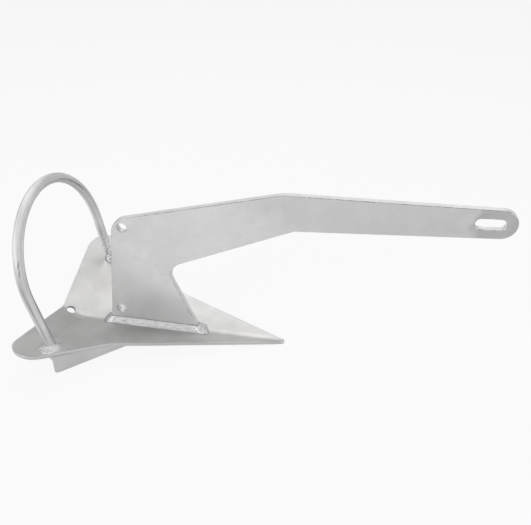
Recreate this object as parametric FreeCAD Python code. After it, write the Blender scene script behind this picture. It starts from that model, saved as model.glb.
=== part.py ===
import FreeCAD, Part
import math
import os

# Scoop anchor: a shank plate welded into a folded fluke, with a roll bar and two skids.
# Millimetres. X runs forward to the shackle end, Y to the left and Z up.
# The origin lies on the ground, under the middle of the length and width.

# Overall
LENGTH = 730.0

# Fluke: one plate, folded to a V along its middle, with its rear lip bent up.
# Each value that ends in AT is a distance forward from the plate's heel.
FLUKE_T = 5.0
DIHEDRAL = 20.0
FOLD_R = 22.0
FLUKE_LENGTH = 403.1
TIP_WIDTH = 5.0
NOTCH_AT = 127.8
NOTCH_Y = 94.4
NOTCH_R = 12.0
EAR_SWEEP = 43.2
EAR_R = 35.0
REAR_SWEEP = 2.25
HEEL_SETBACK = 5.4
LIP_LENGTH = 35.0
LIP_RISE = 19.0
LIP_TAPER = 0.08
LIP_BEND_R = 16.0
LIP_STATIONS = 6
TRIP_HOLE_D = 16.0
TRIP_HOLE_EDGE = 13.5

# Shank: one profiled plate
SHANK_T = 10.0
SHANK_HEEL_AT = 92.9
SHANK_TOE_AT = 256.7
REAR_TOP_AT = 121.7
REAR_TOP_Z = 218.3
REAR_TOP_R = 32.0
TOP_BEND_AT = 393.7
TOP_BEND_Z = 289.8
TOP_BEND_R = 100.0
UNDER_BEND_AT = 412.3
UNDER_BEND_Z = 230.4
UNDER_BEND_R = 14.0
THROAT_AT = 203.9
THROAT_Z = 136.1
THROAT_R = 28.0
END_R = 22.6
END_Z = 274.3
SLOT_LENGTH = 42.7
SLOT_WIDTH = 17.0
SLOT_WALL = 15.4
SHANK_HOLE_D = 16.0
SHANK_HOLE_EDGE = 18.0
UPPER_HOLE_Z = 206.3
LOWER_HOLE_Z = 38.8
EDGE_BREAK = 0.8

# Roll bar: one round bar, bent to a little over half a circle on two straight legs
BAR_D = 16.0
HOOP_R = 127.2
HOOP_HALF_ANGLE = 92.0
HOOP_AT = 29.0
HOOP_Z = 140.0
BAR_LEAN = 9.3

# Skids: one plate under each ear, level along the ground
SKID_T = 5.0
SKID_INSET = 8.0
SKID_LEAN = 19.0
SKID_REAR = 88.0
SKID_FRONT = 40.0
SKID_NOSE = 18.0
SKID_FLARE = 9.0
SKID_FLARE_HEIGHT = 26.0
SKID_HEEL_R = 7.0
SKID_NOSE_R = 12.0

# Weld beads
SHANK_BEAD_HEIGHT = 14.0
SHANK_BEAD_WIDTH = 8.0
SHANK_BEAD_CORNER = 6.0
SKID_BEAD = 5.0
FOOT_BEAD_LENGTH = 40.0
FOOT_BEAD_EDGE = 3.0
FOOT_BEAD_SKIRT = 2.5
FOOT_BEAD_HEIGHT = 3.0
FOOT_BEAD_SLOPE = 4.0
FOOT_BEAD_CORNER = 9.0
BEAD_LIP = 0.6


def vec(x, y, z):
    return FreeCAD.Vector(x, y, z)


def tan(degrees):
    return math.tan(math.radians(degrees))


def cos(degrees):
    return math.cos(math.radians(degrees))


def sin(degrees):
    return math.sin(math.radians(degrees))


def unit(vector):
    return FreeCAD.Vector(vector).normalize()


# Worked out from the sizes above
WING_DROP = FLUKE_T / cos(DIHEDRAL)
KEEL_LIFT = (FOLD_R + FLUKE_T) * (1 / cos(DIHEDRAL) - 1)
HEEL_X = -LENGTH / 2 + HEEL_SETBACK
TIP_X = HEEL_X + FLUKE_LENGTH
NOTCH_X = HEEL_X + NOTCH_AT
LIP_X = HEEL_X + LIP_LENGTH
TRIP_HOLE_X = HEEL_X + TRIP_HOLE_EDGE
SHANK_HEEL_X = HEEL_X + SHANK_HEEL_AT
SHANK_TOE_X = HEEL_X + SHANK_TOE_AT
END_X = LENGTH / 2 - END_R
RIGHT = -1
LEFT = 1
# Past every edge of the object, for cutting blocks
REACH = LENGTH


def underside(y):
    """Height of the wing's underside, in front of the lip."""
    return abs(y) * tan(DIHEDRAL) - KEEL_LIFT


def wing_top(y):
    """Height of the wing's top face, in front of the lip."""
    return underside(y) + WING_DROP


def fold_top(y):
    """Height of the top face in the fold, in front of the lip."""
    return wing_top(0) + FOLD_R / cos(DIHEDRAL) - math.sqrt(FOLD_R ** 2 - y ** 2)


SHANK_FOOT_Z = fold_top(SHANK_T / 2)


def arc_centre(before, corner, after, radius):
    """Centre of the arc that rounds a corner."""
    back = unit(before - corner)
    ahead = unit(after - corner)
    return corner + unit(back + ahead) * (radius / math.sin(back.getAngle(ahead) / 2))


def rounded_path(points):
    """Edges along (vector, radius) points, with an arc at each inner point that has a radius."""
    edges = []
    start = points[0][0]
    for before, here, after in zip(points, points[1:], points[2:]):
        corner, radius = here
        if radius > 0:
            back = unit(before[0] - corner)
            ahead = unit(after[0] - corner)
            reach = radius / math.tan(back.getAngle(ahead) / 2)
            centre = arc_centre(before[0], corner, after[0], radius)
            middle = centre + unit(corner - centre) * radius
            first, last = corner + back * reach, corner + ahead * reach
            edges.append(Part.makeLine(start, first))
            edges.append(Part.Arc(first, middle, last).toShape())
            start = last
        else:
            edges.append(Part.makeLine(start, corner))
            start = corner
    edges.append(Part.makeLine(start, points[-1][0]))
    return edges


def face_of(edges):
    return Part.Face(Part.Wire(Part.__sortEdges__(edges)))


def plane_face(points):
    return Part.Face(Part.makePolygon(points + points[:1]))


def mirrored(shape):
    return shape.mirror(vec(0, 0, 0), vec(0, 1, 0))


# Fluke

def lip_angle(y):
    """Upward bend of the rear lip, largest at the heel and less towards the ears."""
    rise = LIP_RISE - LIP_TAPER * abs(y)
    return math.degrees(math.atan(rise / LIP_LENGTH))


def bend_span(y, depth):
    """Front and rear ends of the lip's bend, on the face that lies at a depth."""
    front = LIP_X + LIP_BEND_R * tan(lip_angle(y) / 2)
    return front, front - (LIP_BEND_R + depth) * sin(lip_angle(y))


def face_height(x, y, depth):
    """Height of the plate's top face, or of a face that lies at a depth under it."""
    level = wing_top(y) - depth
    front, rear = bend_span(y, depth)
    radius = LIP_BEND_R + depth
    if x >= front:
        return level
    swing = math.sqrt(radius ** 2 - (front - max(x, rear)) ** 2)
    return level + radius - swing + max(0, rear - x) * tan(lip_angle(y))


def lip_stations():
    """Places along X at which the plate's section is drawn, from the bend to the rear."""
    front = bend_span(0, 0)[0]
    rear = bend_span(0, WING_DROP)[1]
    step = (front - rear) / LIP_STATIONS
    return [front - step * i for i in range(LIP_STATIONS + 1)] + [HEEL_X - LIP_LENGTH / 2]


def ear_corner():
    """Where the left ear's side and the plate's rear edge would meet."""
    run = NOTCH_AT + NOTCH_Y * tan(REAR_SWEEP)
    ear = run / (cos(EAR_SWEEP) - sin(EAR_SWEEP) * tan(REAR_SWEEP))
    return vec(NOTCH_X - ear * cos(EAR_SWEEP), NOTCH_Y + ear * sin(EAR_SWEEP), 0)


def blank_half_width():
    """Half the width at which the plate's sections are drawn, just past the ears."""
    centre = arc_centre(vec(NOTCH_X, NOTCH_Y, 0), ear_corner(), vec(HEEL_X, 0, 0), EAR_R)
    return centre.y + EAR_R + FLUKE_T


def fold_path(x, depth, radius):
    """Both wings' faces and the fold between them, from right to left across one station."""
    side = blank_half_width()
    edge = face_height(x, side, depth)
    return rounded_path([(vec(x, -side, edge), 0), (vec(x, 0, face_height(x, 0, depth)), radius),
                         (vec(x, side, edge), 0)])


def section(top, bottom):
    """A closed wire between an upper and a lower path."""
    ends = []
    for path in (top, bottom):
        ends.append((path[0].firstVertex(True).Point, path[-1].lastVertex(True).Point))
    left = Part.makeLine(ends[0][1], ends[1][1])
    right = Part.makeLine(ends[1][0], ends[0][0])
    return Part.Wire(top + [left] + bottom[::-1] + [right])


def plate_section(x):
    return section(fold_path(x, 0, FOLD_R), fold_path(x, WING_DROP, FOLD_R + FLUKE_T))


def ground_section(x):
    side = blank_half_width()
    low = [Part.makeLine(vec(x, -side, -REACH), vec(x, 0, -REACH)),
           Part.makeLine(vec(x, 0, -REACH), vec(x, side, -REACH))]
    return section(fold_path(x, 0, 0), low)


def along_fluke(section_at):
    """A solid with one section along the fluke, straight in front of the lip and bent behind."""
    stations = lip_stations()
    front = Part.Face(section_at(stations[0])).extrude(vec(REACH - stations[0], 0, 0))
    rear = Part.makeLoft([section_at(x) for x in stations], True, True)
    return front.fuse(rear)


def fluke_outline():
    """A block with the plate's plan: straight cheeks, notches, swept ears and a swept rear edge."""
    ear = ear_corner()
    half = [(TIP_X, TIP_WIDTH / 2, 0), (NOTCH_X, NOTCH_Y, NOTCH_R), (ear.x, ear.y, EAR_R), (HEEL_X, 0, 0)]
    points = [(vec(x, y, -REACH), r) for x, y, r in half]
    points += [(vec(x, -y, -REACH), r) for x, y, r in half[-2::-1]]
    points.append(points[0])
    return face_of(rounded_path(points)).extrude(vec(0, 0, 2 * REACH))


def make_fluke():
    plate = along_fluke(plate_section).common(fluke_outline())
    slope = lip_angle(0)
    centre = vec(TRIP_HOLE_X, 0, face_height(TRIP_HOLE_X, 0, 0))
    axis = vec(sin(slope), 0, cos(slope))
    start = centre - axis * LIP_LENGTH
    return plate.cut(Part.makeCylinder(TRIP_HOLE_D / 2, 2 * LIP_LENGTH, start, axis))


# Shank

def tangent_point(start, centre, radius, side):
    """Where a line from start touches a circle, on its upper (1) or lower (-1) side."""
    gap = start - centre
    swing = side * math.acos(radius / gap.Length)
    heading = math.atan2(gap.z, gap.x) - swing
    return centre + vec(math.cos(heading), 0, math.sin(heading)) * radius


def shank_point(at, z):
    return vec(HEEL_X + at, 0, z)


def shank_rear_x(z):
    lean = (REAR_TOP_AT - SHANK_HEEL_AT) / (REAR_TOP_Z - SHANK_FOOT_Z)
    return SHANK_HEEL_X + (z - SHANK_FOOT_Z) * lean


def shank_toe_x(z):
    lean = (THROAT_AT - SHANK_TOE_AT) / (THROAT_Z - SHANK_FOOT_Z)
    return SHANK_TOE_X + (z - SHANK_FOOT_Z) * lean


def stadium(first, last, width, thickness):
    """A slot-shaped prism along Y between two end centres."""
    along = unit(last - first)
    across = vec(-along.z, 0, along.x) * width / 2
    edges = [Part.makeLine(first + across, last + across),
             Part.Arc(last + across, last + along * width / 2, last - across).toShape(),
             Part.makeLine(last - across, first - across),
             Part.Arc(first - across, first - along * width / 2, first + across).toShape()]
    face = face_of(edges)
    face.translate(vec(0, -thickness / 2, 0))
    return face.extrude(vec(0, thickness, 0))


def shank_outline():
    """The profile's edges: up the rear, along the top, round the end and back underneath."""
    centre = vec(END_X, 0, END_Z)
    top_bend = shank_point(TOP_BEND_AT, TOP_BEND_Z)
    under_bend = shank_point(UNDER_BEND_AT, UNDER_BEND_Z)
    top = tangent_point(top_bend, centre, END_R, 1)
    bottom = tangent_point(under_bend, centre, END_R, -1)
    heel = shank_point(SHANK_HEEL_AT, SHANK_FOOT_Z)
    toe = shank_point(SHANK_TOE_AT, SHANK_FOOT_Z)
    upper = [(heel, 0), (shank_point(REAR_TOP_AT, REAR_TOP_Z), REAR_TOP_R), (top_bend, TOP_BEND_R), (top, 0)]
    lower = [(bottom, 0), (under_bend, UNDER_BEND_R), (shank_point(THROAT_AT, THROAT_Z), THROAT_R), (toe, 0)]
    nose = Part.Arc(top, centre + vec(END_R, 0, 0), bottom).toShape()
    return rounded_path(upper) + [nose] + rounded_path(lower) + [Part.makeLine(toe, heel)]


def slot_centres():
    """Both end centres of the shackle slot, on the arm's middle line."""
    middle = (shank_point(TOP_BEND_AT, TOP_BEND_Z) + shank_point(UNDER_BEND_AT, UNDER_BEND_Z)) / 2
    arm = unit(vec(END_X, 0, END_Z) - middle)
    tip = vec(END_X, 0, END_Z) + arm * END_R
    front = tip - arm * (SLOT_WALL + SLOT_WIDTH / 2)
    return front - arm * (SLOT_LENGTH - SLOT_WIDTH), front


def shank_hole_centre(z):
    return vec(shank_rear_x(z) + SHANK_HOLE_EDGE, 0, z)


def make_shank():
    face = face_of(shank_outline())
    face.translate(vec(0, -SHANK_T / 2, 0))
    plate = face.extrude(vec(0, SHANK_T, 0))
    plate = plate.cut(stadium(*slot_centres(), SLOT_WIDTH, 2 * SHANK_T))
    for z in (UPPER_HOLE_Z, LOWER_HOLE_Z):
        start = shank_hole_centre(z) - vec(0, SHANK_T, 0)
        plate = plate.cut(Part.makeCylinder(SHANK_HOLE_D / 2, 2 * SHANK_T, start, vec(0, 1, 0)))
    rims = []
    for edge in plate.Edges:
        box = edge.BoundBox
        flat = box.YLength < 0.01
        if flat and box.ZMax > SHANK_FOOT_Z + 0.01:
            rims.append(edge)
    return plate.makeChamfer(EDGE_BREAK, rims)


# Roll bar

def bar_point(side, angle, drop=0.0):
    """A point on the bar's middle line, at an angle from the top, then down a leg by a drop."""
    across = HOOP_R * sin(angle) + drop * cos(angle)
    height = HOOP_R * cos(angle) - drop * sin(angle)
    return vec(HEEL_X + HOOP_AT - height * sin(BAR_LEAN), side * across, HOOP_Z + height * cos(BAR_LEAN))


def leg_end(side):
    """The end of a leg that still runs down through the wing."""
    return bar_point(side, HOOP_HALF_ANGLE, HOOP_Z)


def bar_solid():
    """The whole bar: the hoop and two legs, before the wings cut its feet."""
    centre = vec(HEEL_X + HOOP_AT, 0, HOOP_Z)
    first, last = bar_point(RIGHT, HOOP_HALF_ANGLE), bar_point(LEFT, HOOP_HALF_ANGLE)
    section = Part.Face(Part.Wire(Part.makeCircle(BAR_D / 2, first, leg_end(RIGHT) - first)))
    turn = vec(cos(BAR_LEAN), 0, sin(BAR_LEAN))
    hoop = section.revolve(centre, turn * -1, 2 * HOOP_HALF_ANGLE)
    legs = []
    for top, end in ((first, leg_end(RIGHT)), (last, leg_end(LEFT))):
        legs.append(Part.makeCylinder(BAR_D / 2, top.distanceToPoint(end), top, end - top))
    return hoop.fuse(legs)


def foot_centre(side):
    """Where the bar's middle line meets a wing's top face."""
    top, end = bar_point(side, HOOP_HALF_ANGLE), leg_end(side)
    over_top = top.z - wing_top(top.y)
    over_end = end.z - wing_top(end.y)
    return top + (end - top) * (over_top / (over_top - over_end))


def make_roll_bar():
    bar = bar_solid().cut(along_fluke(ground_section))
    return max(bar.Solids, key=lambda solid: solid.Volume)


# Skids, worked out on the right-hand side

def skid_axes():
    """Start point on the outer face, then the rearward, downward and inward directions."""
    rearward = vec(-cos(EAR_SWEEP), -sin(EAR_SWEEP), 0)
    inboard = vec(-sin(EAR_SWEEP), cos(EAR_SWEEP), 0)
    start = vec(NOTCH_X, -NOTCH_Y, wing_top(NOTCH_Y)) + inboard * SKID_INSET
    downward = inboard * sin(SKID_LEAN) - vec(0, 0, cos(SKID_LEAN))
    inward = inboard * cos(SKID_LEAN) + vec(0, 0, sin(SKID_LEAN))
    return start, rearward, downward, inward


def skid_point(along, down=0.0, inset=0.0):
    start, rearward, downward, inward = skid_axes()
    return start + rearward * along + downward * down + inward * inset


def seat_depth(along, inset=0.0):
    """Distance down the skid to the wing's underside."""
    above = skid_point(along, 0.0, inset)
    below = skid_point(along, 1.0, inset)
    over_above = above.z - underside(above.y)
    over_below = below.z - underside(below.y)
    return over_above / (over_above - over_below)


def above_wing():
    """All that lies above the underside of the right-hand wing, in front of the lip."""
    points = [vec(-REACH, 0, underside(0)), vec(-REACH, -REACH, underside(REACH)),
              vec(-REACH, -REACH, 2 * REACH), vec(-REACH, 0, 2 * REACH)]
    return plane_face(points).extrude(vec(2 * REACH, 0, 0))


def skid_flare():
    """The heel's curve, which runs from the plate's rear edge out to the rear under the wing."""
    top = seat_depth(SKID_REAR + SKID_FLARE) - SKID_T
    foot = seat_depth(SKID_REAR) + SKID_FLARE_HEIGHT
    radius = (SKID_FLARE ** 2 + (foot - top) ** 2) / (2 * SKID_FLARE)
    half = math.asin((foot - top) / radius) / 2
    middle = skid_point(SKID_REAR + radius * (1 - math.cos(half)), foot - radius * math.sin(half))
    return [skid_point(SKID_REAR + SKID_FLARE, top), middle, skid_point(SKID_REAR, foot)]


def make_skid():
    start, rearward, downward, inward = skid_axes()
    sole = start.z / cos(SKID_LEAN)
    flare = skid_flare()
    nose_top = -SKID_FRONT - SKID_NOSE
    points = [(flare[2], 0), (skid_point(SKID_REAR, sole), SKID_HEEL_R),
              (skid_point(-SKID_FRONT, sole), SKID_NOSE_R),
              (skid_point(nose_top, seat_depth(nose_top) - SKID_T), 0)]
    edges = [Part.Arc(*flare).toShape()] + rounded_path(points)
    edges.append(Part.makeLine(points[-1][0], flare[0]))
    return face_of(edges).extrude(inward * SKID_T).cut(above_wing())


# Weld beads

def skid_bead(inset, away):
    """A fillet weld under the right-hand wing, inboard (1) or outboard (-1) of a skid's face."""
    start, rearward, downward, inward = skid_axes()
    under = vec(0, -sin(DIHEDRAL), -cos(DIHEDRAL))
    line = unit(inward.cross(under))
    on_wing = unit(under.cross(line)) * away
    on_skid = line.cross(inward)
    first = skid_point(0, seat_depth(0, inset), inset) - line * SKID_FRONT
    section = plane_face([first, first + on_wing * SKID_BEAD, first + on_skid * SKID_BEAD])
    return section.extrude(line * (SKID_FRONT + SKID_REAR))


def cut_cornered(corners, cut):
    """Points round four corners, each cut off at a distance along both its sides."""
    points = []
    for before, corner, after in zip(corners[-1:] + corners[:-1], corners, corners[1:] + corners[:1]):
        points += [corner + unit(before - corner) * cut, corner + unit(after - corner) * cut]
    return points


def level_box(rear, front, half_width, cut, z):
    return cut_cornered([vec(rear, -half_width, z), vec(front, -half_width, z),
                         vec(front, half_width, z), vec(rear, half_width, z)], cut)


def frustum(low, high):
    """A solid with plane sides between two outlines whose sides are parallel."""
    faces = [plane_face(low), plane_face(high)]
    for i in range(len(low)):
        faces.append(plane_face([low[i - 1], low[i], high[i], high[i - 1]]))
    return Part.Solid(Part.Shell(faces))


def shank_bead_ring(shank, fluke):
    """The bead that runs round the shank's foot, before it is parted."""
    crest = SHANK_FOOT_Z + SHANK_BEAD_HEIGHT
    toe_z = wing_top(SHANK_T / 2 + SHANK_BEAD_WIDTH)
    base_z = underside(0)
    spread = SHANK_BEAD_WIDTH * (crest - base_z) / (crest - toe_z)
    low = level_box(SHANK_HEEL_X - spread, SHANK_TOE_X + spread, SHANK_T / 2 + spread,
                    SHANK_BEAD_CORNER, base_z)
    high = level_box(shank_rear_x(crest) - BEAD_LIP, shank_toe_x(crest) + BEAD_LIP,
                     SHANK_T / 2 + BEAD_LIP, BEAD_LIP, crest)
    ring = frustum(low, high)
    under_shank = Part.makeBox(SHANK_TOE_X - SHANK_HEEL_X, SHANK_T, SHANK_FOOT_Z + REACH,
                               vec(SHANK_HEEL_X, -SHANK_T / 2, -REACH))
    return ring.cut(shank).cut(under_shank).cut(along_fluke(ground_section)).cut(fluke)


def slab(x1, x2, y1, y2):
    return Part.makeBox(x2 - x1, y2 - y1, 2 * REACH, vec(x1, y1, -REACH))


def shank_beads(shank, fluke):
    ring = shank_bead_ring(shank, fluke)
    crest = SHANK_FOOT_Z + SHANK_BEAD_HEIGHT
    rear, front = shank_rear_x(crest), shank_toe_x(crest)
    return {"shank_weld_right": ring.common(slab(rear, front, -REACH, 0)),
            "shank_weld_left": ring.common(slab(rear, front, 0, REACH)),
            "shank_weld_heel": ring.common(slab(-REACH, rear, -REACH, REACH)),
            "shank_weld_toe": ring.common(slab(front, REACH, -REACH, REACH))}


def foot_bead(side, bar):
    """The low pad of weld round one foot of the roll bar, which reaches out to the ear's edge."""
    notch = vec(NOTCH_X, side * NOTCH_Y, 0)
    rearward = vec(-cos(EAR_SWEEP), side * sin(EAR_SWEEP), 0)
    inboard = vec(-sin(EAR_SWEEP), -side * cos(EAR_SWEEP), 0)
    foot = foot_centre(side) - notch
    along, inset = foot.dot(rearward), foot.dot(inboard)

    def outline(level):
        """The pad's rim at the wing's top face (0), at its own top (1), or as far below (-1)."""
        spread = -level * FOOT_BEAD_SLOPE
        half = FOOT_BEAD_LENGTH / 2 + spread
        outer = FOOT_BEAD_EDGE - spread
        inner = inset + BAR_D / 2 + FOOT_BEAD_SKIRT + spread
        corners = []
        for place, depth in ((-half, outer), (half, outer), (half, inner), (-half, inner)):
            corner = notch + rearward * (along + place) + inboard * depth
            corner.z = wing_top(corner.y) + level * FOOT_BEAD_HEIGHT
            corners.append(corner)
        return cut_cornered(corners, FOOT_BEAD_CORNER + spread)

    pad = frustum(outline(-1), outline(1))
    return pad.cut(bar).cut(along_fluke(ground_section))


def main():
    fluke = make_fluke()
    shank = make_shank()
    bar = make_roll_bar()
    skid = make_skid()
    outer_bead = skid_bead(0, -1)
    inner_bead = skid_bead(SKID_T, 1)
    nodes = {"fluke": fluke, "shank": shank, "roll_bar": bar,
             "skid_right": skid, "skid_left": mirrored(skid),
             "skid_weld_right_outer": outer_bead, "skid_weld_left_outer": mirrored(outer_bead),
             "skid_weld_right_inner": inner_bead, "skid_weld_left_inner": mirrored(inner_bead),
             "roll_bar_weld_right": foot_bead(RIGHT, bar), "roll_bar_weld_left": foot_bead(LEFT, bar)}
    nodes.update(shank_beads(shank, fluke))
    os.makedirs("parts", exist_ok=True)
    for name, shape in nodes.items():
        box = shape.optimalBoundingBox()
        print("%-24s solids %d valid %s volume %9.0f box %s" % (
            name, len(shape.Solids), shape.isValid(), shape.Volume,
            " ".join("%.1f" % v for v in (box.XMin, box.XMax, box.YMin, box.YMax, box.ZMin, box.ZMax))))
        shape.exportStep(os.path.join("parts", name + ".step"))


main()
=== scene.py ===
"""Looks of a welded, galvanised scoop anchor: zinc-coated plates and bar, laid weld beads, a pale studio."""

import logging
import math
from dataclasses import dataclass, field, replace
from enum import Enum
from functools import cached_property, reduce
from typing import Callable, Iterable

import bmesh
import bpy
from mathutils import Matrix, Vector, noise
from mathutils.bvhtree import BVHTree


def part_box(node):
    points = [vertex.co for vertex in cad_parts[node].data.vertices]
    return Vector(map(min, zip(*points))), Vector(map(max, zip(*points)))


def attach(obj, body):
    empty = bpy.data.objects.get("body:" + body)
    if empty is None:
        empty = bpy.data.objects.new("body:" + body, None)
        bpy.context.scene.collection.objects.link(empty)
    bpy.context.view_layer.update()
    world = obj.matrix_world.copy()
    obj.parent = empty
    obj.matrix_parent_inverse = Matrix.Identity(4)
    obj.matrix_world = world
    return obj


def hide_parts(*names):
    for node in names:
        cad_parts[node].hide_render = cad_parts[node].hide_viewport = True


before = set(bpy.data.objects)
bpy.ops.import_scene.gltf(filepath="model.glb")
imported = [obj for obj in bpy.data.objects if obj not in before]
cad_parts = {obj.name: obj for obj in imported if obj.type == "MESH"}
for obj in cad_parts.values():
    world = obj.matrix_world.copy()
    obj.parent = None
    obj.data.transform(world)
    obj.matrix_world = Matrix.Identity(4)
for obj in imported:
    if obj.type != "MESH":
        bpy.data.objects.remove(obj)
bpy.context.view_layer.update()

MM = 0.001
BODY = "root"
LAY = "lay"
log = logging.getLogger("scoop_anchor")

Colour = tuple[float, float, float]
Place = tuple[float, float, float]
Span = tuple[float, float]
Socket = bpy.types.NodeSocket
Value = Socket | float
Triple = Socket | Place
Material = bpy.types.Material

# Most of a shader noise's values, and the rare high ones where specks and pits come in.
NOISE_SPAN: Span = (0.3, 0.7)
SPECK_SPAN: Span = (0.70, 0.80)
PALEST: Colour = (0.95, 0.95, 0.95)
SAME_POINT = 0.1 * MM


class Side(Enum):
    """The two sides of the anchor, as the sign of Y."""

    RIGHT = -1
    LEFT = 1

    @property
    def word(self) -> str:
        """The side's word in node names."""
        return self.name.lower()


class End(Enum):
    """The two ends of the shank's foot."""

    HEEL = "heel"
    TOE = "toe"


class Face(Enum):
    """The two faces of a skid."""

    OUTER = "outer"
    INNER = "inner"


# Finishes


class Wiring:
    """Adds shader nodes to a material or world and joins them."""

    def __init__(self, owner: Material | bpy.types.World) -> None:
        """Empties the owner's node tree.

        Args:
            owner: the material or world whose nodes are laid out.
        """
        owner.use_nodes = True
        self.owner = owner
        self.tree = owner.node_tree
        self.tree.nodes.clear()

    def add(self, kind: str, inputs: dict | None = None, **settings: object) -> bpy.types.Node:
        """Adds one node.

        Args:
            kind: the node's type, without its ShaderNode prefix.
            inputs: values or sockets for the node's inputs, by name or number.
            settings: attributes of the node.

        Returns:
            The new node.
        """
        node = self.tree.nodes.new("ShaderNode" + kind)
        for key, value in settings.items():
            setattr(node, key, value)
        for key, value in (inputs or {}).items():
            if isinstance(value, Socket):
                self.tree.links.new(value, node.inputs[key])
            else:
                node.inputs[key].default_value = value
        return node

    @cached_property
    def point(self) -> Socket:
        """The surface point in the anchor's own frame, in metres."""
        return self.add("TexCoord").outputs["Object"]

    @cached_property
    def normal(self) -> Socket:
        """The surface's normal in the anchor's own frame."""
        return self.add("TexCoord").outputs["Normal"]

    def noise(self, size: float, detail: float = 3.0, roughness: float = 0.5, distortion: float = 0.0,
              at: Socket | None = None) -> Socket:
        """A noise around 0.5 with features of a real size in metres, at the surface point or another one."""
        return self.add("TexNoise", {"Vector": self.point if at is None else at, "Scale": 1.0 / size,
                                     "Detail": detail, "Roughness": roughness,
                                     "Distortion": distortion}).outputs[0]

    def math(self, operation: str, first: Value, second: Value = 0.0) -> Socket:
        """One arithmetic step on two values or sockets."""
        return self.add("Math", {0: first, 1: second}, operation=operation).outputs[0]

    def product(self, first: Value, *others: Value) -> Value:
        """Several values or sockets multiplied, in order."""
        return reduce(lambda made, other: self.math("MULTIPLY", made, other), others, first)

    def between(self, share: Socket, first: Value, second: Value) -> Socket:
        """The value at a share of the way from one to another."""
        return self.math("ADD", first, self.product(share, self.math("SUBTRACT", second, first)))

    def spread(self, value: Socket, low: float, high: float, to_low: float = 0.0,
               to_high: float = 1.0) -> Socket:
        """Maps a value's range to another, and holds it inside that range."""
        return self.add("MapRange", {"Value": value, "From Min": low, "From Max": high,
                                     "To Min": to_low, "To Max": to_high}).outputs[0]

    def vector(self, operation: str, first: Triple, second: Triple) -> Socket:
        """One vector step on two vectors or sockets."""
        return self.add("VectorMath", {0: first, 1: second}, operation=operation).outputs[0]

    def dot(self, first: Triple, second: Triple) -> Socket:
        """The dot product of two vectors or sockets."""
        return self.add("VectorMath", {0: first, 1: second}, operation="DOT_PRODUCT").outputs["Value"]

    def parts(self, vector: Socket) -> bpy.types.bpy_prop_collection:
        """The three parts of a vector."""
        return self.add("SeparateXYZ", {0: vector}).outputs

    def packed(self, *axes: Value) -> Socket:
        """A vector from its parts."""
        return self.add("CombineXYZ", dict(enumerate(axes))).outputs[0]

    def shaded(self, colour: Socket, factor: Value) -> Socket:
        """A colour multiplied by a factor."""
        return self.vector("MULTIPLY", colour, self.packed(factor, factor, factor))

    def blend(self, factor: Value, first: Socket, second: Socket | tuple[float, ...]) -> Socket:
        """Mixes two colours by a factor."""
        return self.add("Mix", {0: factor, 6: first, 7: second}, data_type="RGBA").outputs[2]

    def shades(self, factor: Socket, stops: Iterable[tuple[float, Colour]]) -> Socket:
        """A colour ramp.

        Args:
            factor: where along the ramp to read.
            stops: positions and their colours, in order.

        Returns:
            The colour.
        """
        ramp = self.add("ValToRGB", {0: factor})
        stops = list(stops)
        while len(ramp.color_ramp.elements) < len(stops):
            ramp.color_ramp.elements.new(0.5)
        for element, (place, colour) in zip(ramp.color_ramp.elements, stops):
            element.position = place
            element.color = (*colour, 1.0)
        return ramp.outputs[0]

    def bump(self, height: Socket, distance: float, under: Socket | None = None) -> Socket:
        """The normal of a relief of a real height in metres, on the surface's own normal or another one."""
        over = {} if under is None else {"Normal": under}
        return self.add("Bump", {"Height": height, "Distance": distance, **over}).outputs[0]

    def finish(self, shader: bpy.types.Node, output: str = "OutputMaterial") -> bpy.types.ID:
        """Joins the last shader to the output, and hands back the material or world."""
        self.tree.links.new(shader.outputs[0], self.add(output).inputs["Surface"])
        return self.owner


def grey(level: float, warmth: float = 0.0) -> Colour:
    """A grey of one level, made a little warmer or cooler."""
    return level * (1 + warmth), level, level * (1 - warmth)


def paint(level: float) -> tuple[float, ...]:
    """A plain grey as a shader socket takes it."""
    return *grey(level), 1.0


def tints(level: float, shades: Iterable[Span]) -> list[tuple[float, Colour]]:
    """The stops of a ramp, from places and shares of a level."""
    return [(place, grey(level * share)) for place, share in shades]


@dataclass(frozen=True)
class Patch:
    """A soft-edged area where the colour is lighter or darker by its tint: mostly painted light and painted
    shade.
    """

    middle: Place
    reach: Place
    tint: float
    ragged: float = 0.8
    soft: float = 0.5
    size: float = 1.1
    tear_size: float = 0.02

    def tone(self, nodes: Wiring) -> Socket:
        """The patch's factor for the colour: its tint inside and 1 outside.

        Args:
            nodes: the wiring to add to.

        Returns:
            The factor.
        """
        away = nodes.vector("DIVIDE", nodes.vector("SUBTRACT", nodes.point, self.middle), self.reach)
        distance = nodes.add("VectorMath", {0: away}, operation="LENGTH").outputs["Value"]
        torn = nodes.product(nodes.noise(self.tear_size, detail=4.0), self.ragged)
        outline = self.size + self.ragged / 2
        return nodes.spread(nodes.math("ADD", distance, torn), outline - self.soft, outline, self.tint, 1.0)


def patched(nodes: Wiring, tone: Value, patches: Iterable[Patch]) -> Value:
    """A factor for the colour, multiplied by those of some patches."""
    return nodes.product(tone, *(patch.tone(nodes) for patch in patches))


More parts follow.
